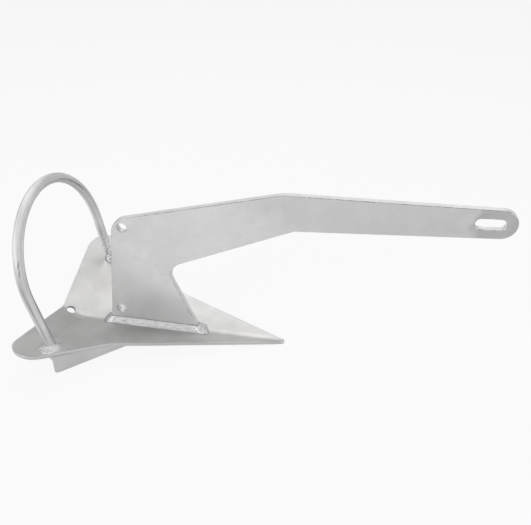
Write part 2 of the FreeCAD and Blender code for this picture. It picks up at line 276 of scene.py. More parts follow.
@dataclass(frozen=True)
class ZincFinish:
    """Hot-dip zinc on plate: satin grey, softly clouded, with a faint spangle and fine grain.

    A face square to flat_axis is flat, one along it is a cut edge, and a broken corner lies between; these
    get painted light and shade by their gains.
    """

    name: str
    level: float
    patches: tuple[Patch, ...] = ()
    edge_patches: tuple[Patch, ...] = ()
    corner_patches: tuple[Patch, ...] = ()
    flat_axis: Place = (0.0, 1.0, 0.0)
    face_turn: Span = (0.74, 0.81)
    corner_turn: Span = (0.45, 0.62)
    warmth: float = 0.004
    cloud_size: float = 0.11
    cloud_depth: float = 0.10
    spangle_size: float = 0.011
    spangle_depth: float = 0.035
    speck_size: float = 0.0042
    speck_depth: float = 0.35
    speck_level: float = 0.62
    grain_size: float = 0.0016
    grain_height: float = 0.00003
    wave_size: float = 0.045
    wave_height: float = 0.0004
    metal: float = 0.6
    gloss: float = 0.35
    smear_size: float = 0.03
    roughness: Span = (0.29, 0.43)
    # Painted light and shade set by facing: a painted highlight on cut edges, painted shade on their margins,
    # a gain for broken corners (painted shade under 1, painted light over 1), painted shade on a tilted lip
    # and a painted highlight on rims.
    edge_gain: float = 1.12
    margin: Span = (0.0, 0.0)
    margin_gain: float = 1.0
    corner_gain: float = 0.78
    notch_size: float = 0.009
    notch_span: Span = (0.38, 0.62)
    notch_depth: Span = (0.75, 1.35)
    lip_slope: Span = (0.08, 0.20)
    lip_gain: float = 1.0
    rim_radius: float = 0.0
    rim_turn: Span = (0.80, 0.98)
    rim_gain: float = 0.0

    def edge_tone(self, nodes: Wiring) -> Socket:
        """Painted light and shade by facing on flat faces, cut edges and the notched line on broken corners,
        with their patches.

        Args:
            nodes: the wiring to add to.

        Returns:
            A factor for the colour.
        """
        facing = nodes.math("ABSOLUTE", nodes.dot(nodes.normal, self.flat_axis))
        bites = nodes.noise(self.notch_size, detail=2.0, roughness=0.7)
        depths = (self.corner_gain * depth for depth in self.notch_depth)
        notches = patched(nodes, nodes.spread(bites, *self.notch_span, *depths), self.corner_patches)
        # A painted highlight on cut edges, with painted shade on the margins next to the faces.
        cut: Value = self.edge_gain
        if self.margin[1] > 0.0:
            depth = nodes.math("ABSOLUTE", nodes.dot(nodes.point, self.flat_axis))
            cut = nodes.spread(depth, *self.margin, self.edge_gain, self.edge_gain * self.margin_gain)
        edge = nodes.between(nodes.spread(facing, *self.corner_turn), cut, notches)
        # Painted shade on faces tilted towards +X, as on the heel's upturned lip.
        lip = nodes.spread(nodes.parts(nodes.normal)[0], *self.lip_slope, 1.0, self.lip_gain)
        return nodes.between(nodes.spread(facing, *self.face_turn), patched(nodes, edge, self.edge_patches),
                             patched(nodes, lip, self.patches))

    def colour(self, nodes: Wiring, rounded: Socket | None) -> Socket:
        """Clouds, spangle, painted light and shade of edges and patches, a painted highlight on rims, and
        grey specks.

        Args:
            nodes: the wiring to add to.
            rounded: the normal with rounded corners, if the finish has them.

        Returns:
            The coat's colour.
        """
        clouds = nodes.noise(self.cloud_size, detail=4.0, roughness=0.55, distortion=0.4)
        dark = grey(self.level * (1 - self.cloud_depth), self.warmth)
        light = grey(self.level * (1 + self.cloud_depth), self.warmth / 2)
        base = nodes.shades(clouds, zip(NOISE_SPAN, (dark, light)))
        cells = nodes.add("TexVoronoi", {"Vector": nodes.point, "Scale": 1.0 / self.spangle_size,
                                         "Randomness": 1.0}, feature="F1")
        facet = nodes.add("SeparateColor", {0: cells.outputs["Color"]}).outputs[0]
        spangle = nodes.spread(facet, 0.0, 1.0, 1 - self.spangle_depth, 1 + self.spangle_depth)
        tone = nodes.product(self.edge_tone(nodes), spangle)
        # A painted highlight along rims, where the rounded normal turns away from the true one.
        if rounded is not None:
            turned = nodes.dot(rounded, nodes.add("NewGeometry").outputs["Normal"])
            tone = nodes.product(tone, nodes.spread(turned, *self.rim_turn, 1 + self.rim_gain, 1.0))
        toned = nodes.vector("MINIMUM", nodes.shaded(base, tone), PALEST)
        specks = nodes.noise(self.speck_size, detail=2.0, roughness=0.7)
        return nodes.blend(nodes.spread(specks, *SPECK_SPAN, 0.0, self.speck_depth), toned,
                           paint(self.level * self.speck_level))

    def build(self) -> Material:
        """Lays out the material's nodes.

        Returns:
            The material.
        """
        nodes = Wiring(bpy.data.materials.new(self.name))
        rim = None
        if self.rim_radius > 0.0:
            rim = nodes.add("Bevel", {"Radius": self.rim_radius}, samples=6).outputs[0]
        wave = nodes.bump(nodes.noise(self.wave_size, detail=2.0), self.wave_height, rim)
        smears = nodes.noise(self.smear_size, detail=4.0, roughness=0.6)
        return nodes.finish(nodes.add("BsdfPrincipled", {
            "Base Color": self.colour(nodes, rim), "Metallic": self.metal, "Specular IOR Level": self.gloss,
            "Roughness": nodes.spread(smears, *NOISE_SPAN, *self.roughness),
            "Normal": nodes.bump(nodes.noise(self.grain_size, roughness=0.65), self.grain_height, wave)}))


@dataclass(frozen=True)
class BarFinish:
    """Zinc on the round bar: glossier, with streaks and runs drawn along the bar's length, and painted light
    and shade on its legs and hoop.
    """

    name: str = "bar_zinc"
    level: float = 0.82
    lean: float = math.radians(9.3)
    hoop_centre: Place = (-0.3306, 0.0, 0.140)
    hoop_radius: float = 0.1272
    streak_size: float = 0.00352
    streak_height: float = 0.0003
    streak_shades: tuple[Span, ...] = ((0.28, 0.36), (0.42, 0.84), (0.60, 1.06), (0.72, 1.20))
    draw_out: float = 0.02
    fine_size: float = 0.0011
    fine_depth: Span = (0.86, 1.12)
    cloud_size: float = 0.05
    cloud_depth: Span = (0.93, 1.05)
    pit_size: float = 0.006
    pit_height: float = 0.00008
    metal: float = 0.45
    roughness: Span = (0.48, 0.65)
    # Where and how dark the painted shade line down the right-hand leg is.
    shade_line_side: Place = (0.94, 0.34, 0.0)
    shade_line_facing: Span = (0.88, 0.97)
    shade_line_place: tuple[Span, Span] = ((-0.05, -0.10), (0.20, 0.13))
    shade_line_dark: float = 0.62
    fleck_place: tuple[Span, Span] = ((0.05, 0.10), (0.105, 0.070))
    fleck_size: float = 0.0042
    fleck_span: Span = (0.38, 0.62)
    fleck_depth: Span = (-0.34, 0.55)
    # Two thin darker bands on the right-hand leg, painted shade over the hoop's top and painted light low on
    # the right-hand leg.
    marks: tuple[Patch, ...] = (
        Patch((-0.3363, -0.1205, 0.1975), (0.0013, 0.008, 0.0075), 0.55, ragged=0.3),
        Patch((-0.3346, -0.1258, 0.1865), (0.0013, 0.008, 0.0075), 0.62, ragged=0.3),
        Patch((-0.343, 0.040, 0.262), (0.03, 0.04, 0.03), 0.94, ragged=0.3),
        Patch((-0.323, -0.130, 0.122), (0.02, 0.02, 0.055), 1.09, ragged=0.3))

    def along_bar(self, nodes: Wiring) -> Socket:
        """A coordinate whose third axis runs along the bar, stretched so that spots become streaks.

        Args:
            nodes: the wiring to add to.

        Returns:
            The stretched coordinate.
        """
        from_centre = nodes.vector("SUBTRACT", nodes.point, self.hoop_centre)
        upright = nodes.add("VectorRotate", {"Vector": from_centre, "Axis": (0.0, 1.0, 0.0),
                                             "Angle": self.lean}, rotation_type="AXIS_ANGLE").outputs[0]
        across, out, height = nodes.parts(upright)
        rise = nodes.math("MAXIMUM", height, 0.0)
        fall = nodes.math("MAXIMUM", nodes.product(height, -1.0), 0.0)
        ring = nodes.math("SQRT", nodes.math("ADD", nodes.product(out, out), nodes.product(rise, rise)))
        turn = nodes.product(nodes.math("ARCTAN2", out, rise), self.hoop_radius)
        travel = nodes.math("ADD", turn, nodes.product(nodes.math("SIGN", out), fall))
        return nodes.packed(across, ring, nodes.product(travel, self.draw_out))

    def leg(self, nodes: Wiring, out: Span, height: Span) -> Socket:
        """1 on the lower part of one leg and 0 on the rest, from the spans of Y and Z where it comes in."""
        place = nodes.parts(nodes.point)
        return nodes.product(nodes.spread(place[1], *out), nodes.spread(place[2], *height))

    def shade_line_tone(self, nodes: Wiring) -> Socket:
        """A factor for the colour: a painted shade line down the lower right-hand leg, on its side that faces
        along +X.
        """
        line = nodes.spread(nodes.dot(nodes.normal, self.shade_line_side), *self.shade_line_facing)
        return nodes.spread(nodes.product(self.leg(nodes, *self.shade_line_place), line), 0.0, 1.0, 1.0,
                            self.shade_line_dark)

    def fleck_tone(self, nodes: Wiring) -> Socket:
        """A factor for the colour: light and dark flecks of weld spatter on the left-hand leg."""
        flecks = nodes.spread(nodes.noise(self.fleck_size, detail=2.0, roughness=0.6), *self.fleck_span,
                              *self.fleck_depth)
        return nodes.math("ADD", 1.0, nodes.product(self.leg(nodes, *self.fleck_place), flecks))

    def build(self) -> Material:
        """Lays out the material's nodes.

        Returns:
            The material.
        """
        nodes = Wiring(bpy.data.materials.new(self.name))
        drawn = self.along_bar(nodes)
        streaks = nodes.noise(self.streak_size, detail=4.0, roughness=0.6, at=drawn)
        clouds = nodes.spread(nodes.noise(self.cloud_size), *NOISE_SPAN, *self.cloud_depth)
        fine = nodes.spread(nodes.noise(self.fine_size, detail=2.0, at=drawn), *NOISE_SPAN, *self.fine_depth)
        tone = nodes.product(clouds, fine, self.shade_line_tone(nodes), self.fleck_tone(nodes))
        runs = nodes.bump(nodes.noise(self.streak_size, detail=1.0, at=drawn), self.streak_height)
        return nodes.finish(nodes.add("BsdfPrincipled", {
            "Base Color": nodes.shaded(nodes.shades(streaks, tints(self.level, self.streak_shades)),
                                       patched(nodes, tone, self.marks)),
            "Metallic": self.metal, "Roughness": nodes.spread(streaks, *NOISE_SPAN, *self.roughness),
            "Normal": nodes.bump(nodes.noise(self.pit_size, detail=1.0), self.pit_height, runs)}))


@dataclass(frozen=True)
class WeldFinish:
    """Zinc over weld metal: pale, drawn out along the run, dark in its pits, with painted shade along its
    toes and painted light near bright ends.
    """

    name: str
    level: float
    metal: float = 0.2
    roughness: Span = (0.52, 0.38)
    streak_size: float = 0.0022
    streak_height: float = 0.0003
    streak_shades: tuple[Span, ...] = ((0.26, 0.66), (0.46, 0.98), (0.70, 1.22))
    draw_out: float = 0.2
    grain_size: float = 0.0018
    grain_height: float = 0.0001
    pit_size: float = 0.0028
    pit_depth: float = 0.5
    pit_level: float = 0.45
    # The darkest level, for painted shade and pits, and the gain of painted light.
    shade_level: float = 0.36
    glow_gain: float = 1.5

    def build(self) -> Material:
        """Lays out the material's nodes.

        Returns:
            The material.
        """
        nodes = Wiring(bpy.data.materials.new(self.name))
        run, across, shade = nodes.parts(nodes.add("Attribute", attribute_name=LAY).outputs["Vector"])
        drawn = nodes.packed(nodes.product(run, self.draw_out), across)
        streaks = nodes.noise(self.streak_size, detail=4.0, roughness=0.6, at=drawn)
        pits = nodes.spread(nodes.noise(self.pit_size, detail=2.0), *SPECK_SPAN, 0.0, self.pit_depth)
        pitted = nodes.blend(pits, nodes.shades(streaks, tints(self.level, self.streak_shades)),
                             paint(self.level * self.pit_level))
        # A negative shade is painted light, up to the glow gain; a positive one is painted shade and pits,
        # down to the darkest level.
        painted_glow = nodes.spread(shade, -1.0, 0.0, self.glow_gain, 1.0)
        lit = nodes.vector("MINIMUM", nodes.shaded(pitted, painted_glow), PALEST)
        toned = nodes.blend(nodes.spread(shade, 0.0, 1.0), lit, paint(self.level * self.shade_level))
        grain = nodes.noise(self.grain_size, roughness=0.6)
        return nodes.finish(nodes.add("BsdfPrincipled", {
            "Base Color": toned, "Metallic": self.metal,
            "Roughness": nodes.spread(streaks, *NOISE_SPAN, *self.roughness),
            "Normal": nodes.bump(grain, self.grain_height, nodes.bump(streaks, self.streak_height))}))


def seen_rays(nodes: Wiring, reflected: float) -> Socket:
    """1 for rays from the camera, the reflected share for those by way of gloss or glass, 0 for the rest."""
    rays = nodes.add("LightPath").outputs
    return nodes.math("MAXIMUM", rays["Is Camera Ray"], nodes.product(
        nodes.math("MAXIMUM", rays["Is Glossy Ray"], rays["Is Transmission Ray"]), reflected))


@dataclass(frozen=True)
class FloorFinish:
    """A plain pale studio floor with the faintest tone in it, which the camera sees almost as plain white."""

    name: str = "floor_paper"
    level: float = 0.80
    seen_level: float = 1.0
    seen_share: float = 0.9
    reflected: float = 0.40
    tone_size: float = 0.6
    tone_depth: float = 0.01
    roughness: float = 0.9
    gloss: float = 0.1

    def build(self) -> Material:
        """Lays out the material's nodes.

        Returns:
            The material.
        """
        nodes = Wiring(bpy.data.materials.new(self.name))
        shades = tints(self.level, zip(NOISE_SPAN, (1 - self.tone_depth, 1.0)))
        colour = nodes.shades(nodes.noise(self.tone_size, detail=2.0), shades)
        paper = nodes.add("BsdfPrincipled", {"Base Color": colour, "Roughness": self.roughness,
                                             "Specular IOR Level": self.gloss})
        white = nodes.add("Emission", {"Color": paint(self.seen_level), "Strength": 1.0})
        share = nodes.product(seen_rays(nodes, self.reflected), self.seen_share)
        return nodes.finish(nodes.add("MixShader", {0: share, 1: paper.outputs[0], 2: white.outputs[0]}))


# Shared mesh work


def piece(kind: str, node: str, mesh: bmesh.types.BMesh, material: Material) -> None:
    """Turns a finished bmesh into a piece that rides with the anchor and stands for a CAD node.

    Args:
        kind: the first word of the piece's name.
        node: the CAD node that it stands for.
        mesh: its geometry, in the anchor's frame.
        material: its finish.
    """
    name = f"{kind}_{node}"
    bmesh.ops.recalc_face_normals(mesh, faces=mesh.faces)
    data = bpy.data.meshes.new(name)
    mesh.to_mesh(data)
    mesh.free()
    for face in data.polygons:
        face.use_smooth = True
    data.materials.append(material)
    made = bpy.data.objects.new(name, data)
    bpy.context.scene.collection.objects.link(made)
    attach(made, BODY)
    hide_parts(node)
    log.info("%s: %d faces, for node %s", name, len(data.polygons), node)


@dataclass(frozen=True)
class Spot:
    """A point on weld metal: its place, its distances along and across the run, and its shade.

    The shade is 1 where the metal is darkest, as in pits and in the painted shade along toes and in hollows,
    0 in plain zinc and down to -1 where painted light brightens it.
    """

    place: Vector
    along: float
    across: float
    shade: float = 0.0


def skin(rings: list[list[Spot]]) -> bmesh.types.BMesh:
    """Joins closed rings of spots into a tube with both ends capped.

    Args:
        rings: sections with the same number of spots each.

    Returns:
        The closed mesh, whose points keep their lay for the finish.
    """
    mesh = bmesh.new()
    lay = mesh.verts.layers.float_vector.new(LAY)
    rows = []
    for ring in rings:
        row = [mesh.verts.new(spot.place) for spot in ring]
        for vert, spot in zip(row, ring):
            vert[lay] = (spot.along, spot.across, spot.shade)
        rows.append(row)
    count = len(rows[0])
    for near, far in zip(rows, rows[1:]):
        for i in range(count):
            mesh.faces.new((near[i - 1], near[i], far[i], far[i - 1]))
    mesh.faces.new(rows[0])
    mesh.faces.new(rows[-1][::-1])
    return mesh


def smooth_step(value: float, low: float, high: float) -> float:
    """0 below low, 1 above high, and a soft rise between."""
    t = min(1.0, max(0.0, (value - low) / (high - low)))
    return t * t * (3 - 2 * t)


def arch(share: float) -> float:
    """A rise from 0 at both ends to 1 in the middle."""
    return 4 * share * (1 - share)


def rough(spot: Vector, decay: float = 0.8) -> float:
    """A random height around 0, with two finer octaves in it."""
    return noise.fractal(spot, decay, 2.0, 3)


def holes(along: float, across: float, seed: float, span: Span) -> float:
    """1 in a scatter of small pits and 0 between them."""
    return smooth_step(noise.noise(Vector((along, across, seed))), *span)


@dataclass(frozen=True)
class Station:
    """One section of a fillet weld: the root, and its two toes on the faces that meet there."""

    root: Vector
    upper: Vector
    lower: Vector
    swell: float = 0.0

    def blend(self, other: "Station", share: float) -> "Station":
        """The section part of the way to another."""
        return Station(self.root.lerp(other.root, share), self.upper.lerp(other.upper, share),
                       self.lower.lerp(other.lower, share))


@dataclass(frozen=True)
class Bead:
    """A laid fillet weld: a smooth or lumpy fill with ripples, wandering toes and a painted shade line along
    both.

    Near its ends it can be coarse, with knots and pits, and lit with painted light.
    """

    crown: float = 0.05
    ripple_pitch: float = 2.6 * MM
    ripple_height: float = 0.12 * MM
    ripple_bow: float = 1.5
    lump_size: float = 7.0 * MM
    lump_height: float = 0.25 * MM
    lumps_across: float = 3.0
    lump_stretch: float = 0.5
    knot_fineness: float = 2.2
    coarse_height: float = 0.0
    coarse_run: float = 25.0 * MM
    coarse_start: float = 0.0
    start_share: float = 0.5
    pitting: float = 0.0
    pitted_share: float = 0.3
    pits_per_metre: float = 420.0
    pits_across: float = 5.0
    pit_span: Span = (0.15, 0.45)
    toe_wander: float = 0.5 * MM
    strays_per_metre: float = 120.0
    end_fray: float = 0.0
    fray_run: float = 14.0 * MM
    # The sheet beyond each toe lies on the plate and is darkened with the bead's edges as painted shade along
    # the toes; the base shade paints shade over the whole bead.
    shade_skirt: float = 1.3 * MM
    base_shade: float = 0.0
    toe_shade: float = 1.0
    toe_line_shade: float = 0.7
    toe_share: float = 0.12
    # Painted light near the bead's ends.
    bright_start: float = 0.0
    bright_end: float = 0.0
    brightness: float = 0.9
    bright_share: float = 0.5
    film: float = 0.15 * MM
    steps: int = 13
    root_depth: float = 0.8 * MM

    def wander(self, run: float, left: float, seed: float) -> float:
        """How far a toe strays at a distance along the weld, which frays at coarse ends."""
        fray = self.end_fray * (1 - smooth_step(min(run, left), 0.0, self.fray_run))
        return (self.toe_wander + fray) * rough(Vector((run * self.strays_per_metre, seed, 0.0)))

    def fill(self, run: float, share: float, left: float) -> float:
        """Height of the ripples and lumps over the smooth crown.

        Args:
            run: distance along the weld.
            share: place across it, from 0 at the upper toe to 1 at the lower.
            left: distance to the weld's end.

        Returns:
            The height in metres.
        """
        phase = run / self.ripple_pitch * 2 * math.pi - arch(share) * self.ripple_bow
        ripple = self.ripple_height * (0.5 + 0.5 * math.sin(phase)) * arch(share)
        coarse = self.coarse_height * (1 - smooth_step(left, 0.0, self.coarse_run))
        if self.coarse_start > 0.0:
            coarse += self.start_share * self.coarse_height * (1 - smooth_step(run, 0.0, self.coarse_start))
        spot = Vector((run / self.lump_size, share * self.lumps_across, self.crown))
        drawn = rough(Vector((spot.x * self.lump_stretch, spot.y, 2.0)), 0.9) * self.lump_height
        knots = rough(spot * self.knot_fineness) * coarse
        return ripple + (drawn + knots) * arch(share) ** 0.5

    def pit(self, run: float, share: float, left: float) -> float:
        """How dark the pits are at a place, in the coarse stretch at the weld's end."""
        near = 1 - smooth_step(left, self.pitted_share * self.coarse_run, self.coarse_run)
        return self.pitting * near * holes(run * self.pits_per_metre, share * self.pits_across, 1.7,
                                           self.pit_span)

    def painted_glow(self, run: float, left: float) -> float:
        """How much painted light brightens the metal near an end, from 0 to the full brightness."""
        ends = ((run, self.bright_start), (left, self.bright_end))
        return self.brightness * max(1 - smooth_step(place, self.bright_share * reach, reach + self.film)
                                     if reach > 0.0 else 0.0 for place, reach in ends)

    def ring(self, station: Station, run: float, left: float) -> list[Spot]:
        """One closed section of the bead.

        Args:
            station: the section's root and toes.
            run: distance along the weld.
            left: distance to its end.

        Returns:
            The section's spots, from the upper toe over the crown to the lower, then the root.
        """
        climb = (station.upper - station.root).normalized()
        reach = (station.lower - station.root).normalized()
        rise = (climb + reach).normalized()
        upper = station.upper + climb * self.wander(run, left, 3.1)
        lower = station.lower + reach * self.wander(run, left, 9.7)
        width = (upper - lower).length
        buried, film = rise * -self.root_depth, rise * self.film
        # Past each toe a thin sheet lies on the plate, darkened as painted shade.
        over, beyond = upper + climb * self.shade_skirt, lower + reach * self.shade_skirt
        spots = [Spot(over + buried, run, 0.0, self.toe_shade), Spot(over + film, run, 0.0, self.toe_shade)]
        for i in range(self.steps):
            share = i / (self.steps - 1)
            crown = (self.crown * width + station.swell) * arch(share)
            lift = film + rise * (crown + self.fill(run, share, left))
            # The line along both toes is painted shade.
            toe_line = 1 - smooth_step(min(share, 1 - share), 0.0, self.toe_share)
            shade = max(toe_line * self.toe_line_shade * self.toe_shade, self.base_shade, self.pit(run, share, left))
            shade -= self.painted_glow(run, left) * (1 - min(1.0, 2 * shade))
            spots.append(Spot(upper.lerp(lower, share) + lift, run, share * width, shade))
        for place in (beyond + film, beyond + buried, station.root + buried):
            spots.append(Spot(place, run, width, self.toe_shade))
        return spots

    def lay(self, path: Callable[[float], Station], length: float, pitch: float) -> bmesh.types.BMesh:
        """Lays the bead along a path that gives each section by its share of the way, a pitch apart."""
        count = max(2, round(length / pitch))
        return skin([self.ring(path(i / count), i / count * length, (1 - i / count) * length)
                     for i in range(count + 1)])


# Sub-assemblies


def coat(node: str, material: Material) -> None:
    """Puts a finish on every material slot of a CAD node.

    Args:
        node: the node's name.
        material: its finish.
    """
    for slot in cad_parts[node].material_slots:
        slot.material = material
    log.info("%s: finished with %s", node, material.name)


@dataclass
class Plates:
    """The folded fluke, the shank and both skids, which keep their CAD shapes."""

    fluke: ZincFinish = ZincFinish(
        "fluke_zinc", 0.60, flat_axis=(0.0, 0.0, 1.0), warmth=0.012, cloud_depth=0.06, spangle_depth=0.02,
        # Painted highlight on rims and broken corners, painted shade on the heel's lip.
        rim_radius=1.4 * MM, rim_gain=1.2, corner_gain=1.35, lip_gain=0.98,
        # Painted shade on the trip hole's wall, a painted highlight on the tip's cut edge.
        edge_patches=(
            Patch((-0.3466, 0.0, 0.0144), (0.013, 0.013, 0.013), 0.50, ragged=0.1),
            Patch((0.042, 0.0, 0.005), (0.006, 0.006, 0.006), 1.35, ragged=0.2)),
        # Painted light and shade: darker on the near half beside the weld, a light and a dark band along the
        # heel's fold, lighter and darker areas elsewhere.
        patches=(
            Patch((-0.215, -0.050, 0.02), (0.055, 0.055, 0.05), 0.82, ragged=0.3),
            Patch((-0.168, -0.045, 0.02), (0.075, 0.05, 0.05), 0.82, ragged=0.3),
            Patch((-0.318, -0.028, 0.014), (0.05, 0.025, 0.03), 0.97),
            Patch((-0.330, -0.0085, 0.010), (0.014, 0.006, 0.02), 1.14, ragged=0.2),
            Patch((-0.326, -0.0165, 0.010), (0.016, 0.003, 0.02), 0.90, ragged=0.2),
            Patch((-0.298, 0.055, 0.02), (0.040, 0.05, 0.05), 1.05, ragged=0.3),
            Patch((-0.335, -0.138, 0.055), (0.06, 0.04, 0.05), 1.20),
            Patch((-0.035, -0.024, 0.012), (0.08, 0.03, 0.05), 1.24),
            Patch((-0.130, 0.054, 0.023), (0.06, 0.04, 0.05), 1.13),
            Patch((0.005, 0.011, 0.008), (0.05, 0.03, 0.04), 1.08),
            Patch((-0.353, 0.144, 0.057), (0.04, 0.05, 0.05), 0.86)))
    shank: ZincFinish = ZincFinish(
        # Painted highlight on cut edges, painted shade on broken corners and on the cut edges' margins.
        "shank_zinc", 0.845, cloud_depth=0.05, spangle_depth=0.015, edge_gain=1.3, corner_gain=0.60,
        margin=(2.6 * MM, 4.4 * MM), margin_gain=0.72,
        # Painted light on the slot's lower wall; painted shade on the two holes' walls and along the top-left
        # and lower cut edges.
        edge_patches=(
            Patch((0.328, 0.0, 0.2725), (0.026, 0.02, 0.0105), 1.5, ragged=0.1),
            Patch((-0.2215, 0.0, 0.2063), (0.0145, 0.02, 0.0145), 0.78, ragged=0.1),
            Patch((-0.2442, 0.0, 0.0388), (0.0145, 0.02, 0.0145), 0.78, ragged=0.1),
            Patch((-0.13, 0.0, 0.26), (0.13, 0.05, 0.06), 0.84),
            Patch((-0.115, 0.0, 0.08), (0.07, 0.05, 0.10), 0.78)),
        # Painted light on the broken corners low down.
        corner_patches=(Patch((-0.115, 0.0, 0.08), (0.07, 0.05, 0.10), 1.45),),
        # Painted shade on the arm's end and the upper shank, painted light low on the face.
        patches=(
            Patch((0.36, 0.0, 0.272), (0.055, 0.05, 0.05), 0.76, soft=0.25),
            Patch((0.372, 0.0, 0.272), (0.022, 0.05, 0.05), 0.93, ragged=0.4),
            Patch((0.310, 0.0, 0.291), (0.022, 0.05, 0.005), 0.95),
            Patch((0.17, 0.0, 0.28), (0.20, 0.05, 0.08), 0.89),
            Patch((-0.235, 0.0, 0.12), (0.06, 0.05, 0.08), 1.12),
            Patch((-0.145, 0.0, 0.060), (0.08, 0.05, 0.06), 1.20)))
    skid: ZincFinish = ZincFinish(
        # Broken corners slightly darker as painted shade, and a faint painted highlight on rims.
        "skid_zinc", 0.77, cloud_depth=0.04, spangle_depth=0.012, edge_gain=1.0, corner_gain=0.9,
        rim_radius=0.8 * MM, rim_gain=0.1,
        # Painted light towards the skid's front.
        patches=(Patch((-0.237, 0.0, 0.010), (0.035, 0.5, 0.03), 1.07, ragged=0.3),))
    skid_facing: Place = (0.65, 0.69, -0.33)

    def dress(self) -> None:
        """Puts each plate's finish on its node."""
        coat("fluke", self.fluke.build())
        coat("shank", self.shank.build())
        for side in Side:
            node = f"skid_{side.word}"
            facing = (self.skid_facing[0], side.value * self.skid_facing[1], self.skid_facing[2])
            coat(node, replace(self.skid, name=f"{node}_zinc", flat_axis=facing).build())


@dataclass
class RollBar:
    """The round bar, whose CAD shape stays."""

    finish: BarFinish = BarFinish()

    def dress(self) -> None:
        """Puts the streaked finish on the bar."""
        coat("roll_bar", self.finish.build())


class Ground:
    """The fluke's top face, which the welds lie on."""

    def __init__(self) -> None:
        """Reads the fluke's faces."""
        self.faces = BVHTree.FromObject(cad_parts["fluke"], bpy.context.evaluated_depsgraph_get())

    def at(self, spot: Vector) -> Vector:
        """The point of the face over or under a spot."""
        return self.faces.ray_cast(Vector((spot.x, spot.y, 1.0)), Vector((0.0, 0.0, -1.0)))[0]


@dataclass
class ShankWeld:
    """The bead right round the shank's foot: two long sides, and a nose at the heel and at the toe."""

    finish: Material
    lit_toe_finish: Material
    ground: Ground
    # Painted light at both ends of the sides.
    side_bead: Bead = Bead(crown=0.05, coarse_height=2.2 * MM, coarse_start=12.0 * MM, pitting=1.0,
                           end_fray=1.8 * MM, bright_start=9.0 * MM, bright_end=20.0 * MM)
    # Painted shade over the heel's nose.
    heel_bead: Bead = Bead(crown=-0.03, ripple_height=0.0, lump_height=0.12 * MM, base_shade=0.30)
    # Painted light at one end of the toe's nose, which has the lighter toe finish.
    toe_bead: Bead = Bead(crown=-0.02, lump_height=0.3 * MM, toe_shade=0.7, bright_start=11.0 * MM)
    pitch: float = 0.75 * MM
    toe_slope: float = 0.4045
    side_reach: float = 8.2 * MM
    reaches: dict[tuple[End, Side], float] = field(default_factory=lambda: {
        (End.HEEL, Side.RIGHT): -7.0 * MM, (End.HEEL, Side.LEFT): -9.0 * MM,
        (End.TOE, Side.RIGHT): 13.0 * MM, (End.TOE, Side.LEFT): 3.5 * MM})
    heel_bulge: float = -6.5 * MM
    toe_bulge: float = 2.5 * MM

    def __post_init__(self) -> None:
        """Reads the shank's foot from the frame."""
        side_low, side_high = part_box("shank_weld_right")
        shank_low, shank_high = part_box("shank")
        self.half = shank_high.y
        self.foot, self.crest = side_low.z, side_high.z
        self.rear, self.front = shank_low.x, side_high.x + (self.crest - self.foot) * self.toe_slope
        self.roots = {End.HEEL: (self.rear, side_low.x), End.TOE: (self.front, side_high.x)}

    def corner(self, end: End, side: Side) -> Station:
        """The section where a side's bead meets the heel's or the toe's.

        Args:
            end: which end of the foot.
            side: which side of the shank.

        Returns:
            The corner's section.
        """
        x, crest_x = self.roots[end]
        y, out = side.value * self.half, side.value * self.side_reach
        lower = self.ground.at(Vector((x + self.reaches[end, side], y + out, 0.0)))
        return Station(Vector((x, y, self.foot)), Vector((crest_x, y, self.crest)), lower)

    def nose(self, end: End, bulge: float, share: float) -> Station:
        """The section at a share of the way across an end, whose lower toe bows out over the fluke."""
        flat = self.corner(end, Side.RIGHT).blend(self.corner(end, Side.LEFT), share)
        return replace(flat, lower=self.ground.at(flat.lower + Vector((bulge * arch(share), 0.0, 0.0))))

    def build(self) -> None:
        """Lays both sides, the heel and the toe."""
        length = self.front - self.rear
        for side in Side:
            heel, toe = self.corner(End.HEEL, side), self.corner(End.TOE, side)
            mesh = self.side_bead.lay(lambda share: heel.blend(toe, share), length, self.pitch)
            piece("bead", f"shank_weld_{side.word}", mesh, self.finish)
        width = 2 * (self.half + self.side_reach)
        for end, bead, bulge, finish in ((End.HEEL, self.heel_bead, self.heel_bulge, self.finish),
                                         (End.TOE, self.toe_bead, self.toe_bulge, self.lit_toe_finish)):
            mesh = bead.lay(lambda share: self.nose(end, bulge, share), width, self.pitch)
            piece("bead", f"shank_weld_{end.value}", mesh, finish)


@dataclass(frozen=True)
class EarEdge:
    """The straight outer edge of an ear, which runs out and back from the notch."""

    notch_x: float = -0.2318
    notch_y: float = 0.0944
    sweep: float = math.radians(43.2)

    def rearward(self, side: Side) -> Vector:
        """The way along the edge, to the rear."""
        return Vector((-math.cos(self.sweep), side.value * math.sin(self.sweep), 0.0))

    def outward(self, side: Side) -> Vector:
        """The way out, square to the edge."""
        return Vector((math.sin(self.sweep), side.value * math.cos(self.sweep), 0.0))

    def inset(self, spot: Vector, side: Side) -> float:
        """How far a spot lies inside the edge."""
        return (Vector((self.notch_x, side.value * self.notch_y, 0.0)) - spot).dot(self.outward(side))


def lone_points(node: str, wanted: Callable[[Vector], bool] = lambda point: True) -> list[Vector]:
    """The corners of a CAD node's mesh, each of them once.

    Args:
        node: the node's name.
        wanted: which corners to keep.

    Returns:
        The corners, in the anchor's frame.
    """
    points: list[Vector] = []
    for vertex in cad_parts[node].data.vertices:
        if wanted(vertex.co) and all((vertex.co - other).length > SAME_POINT for other in points):
            points.append(vertex.co.copy())
    return points


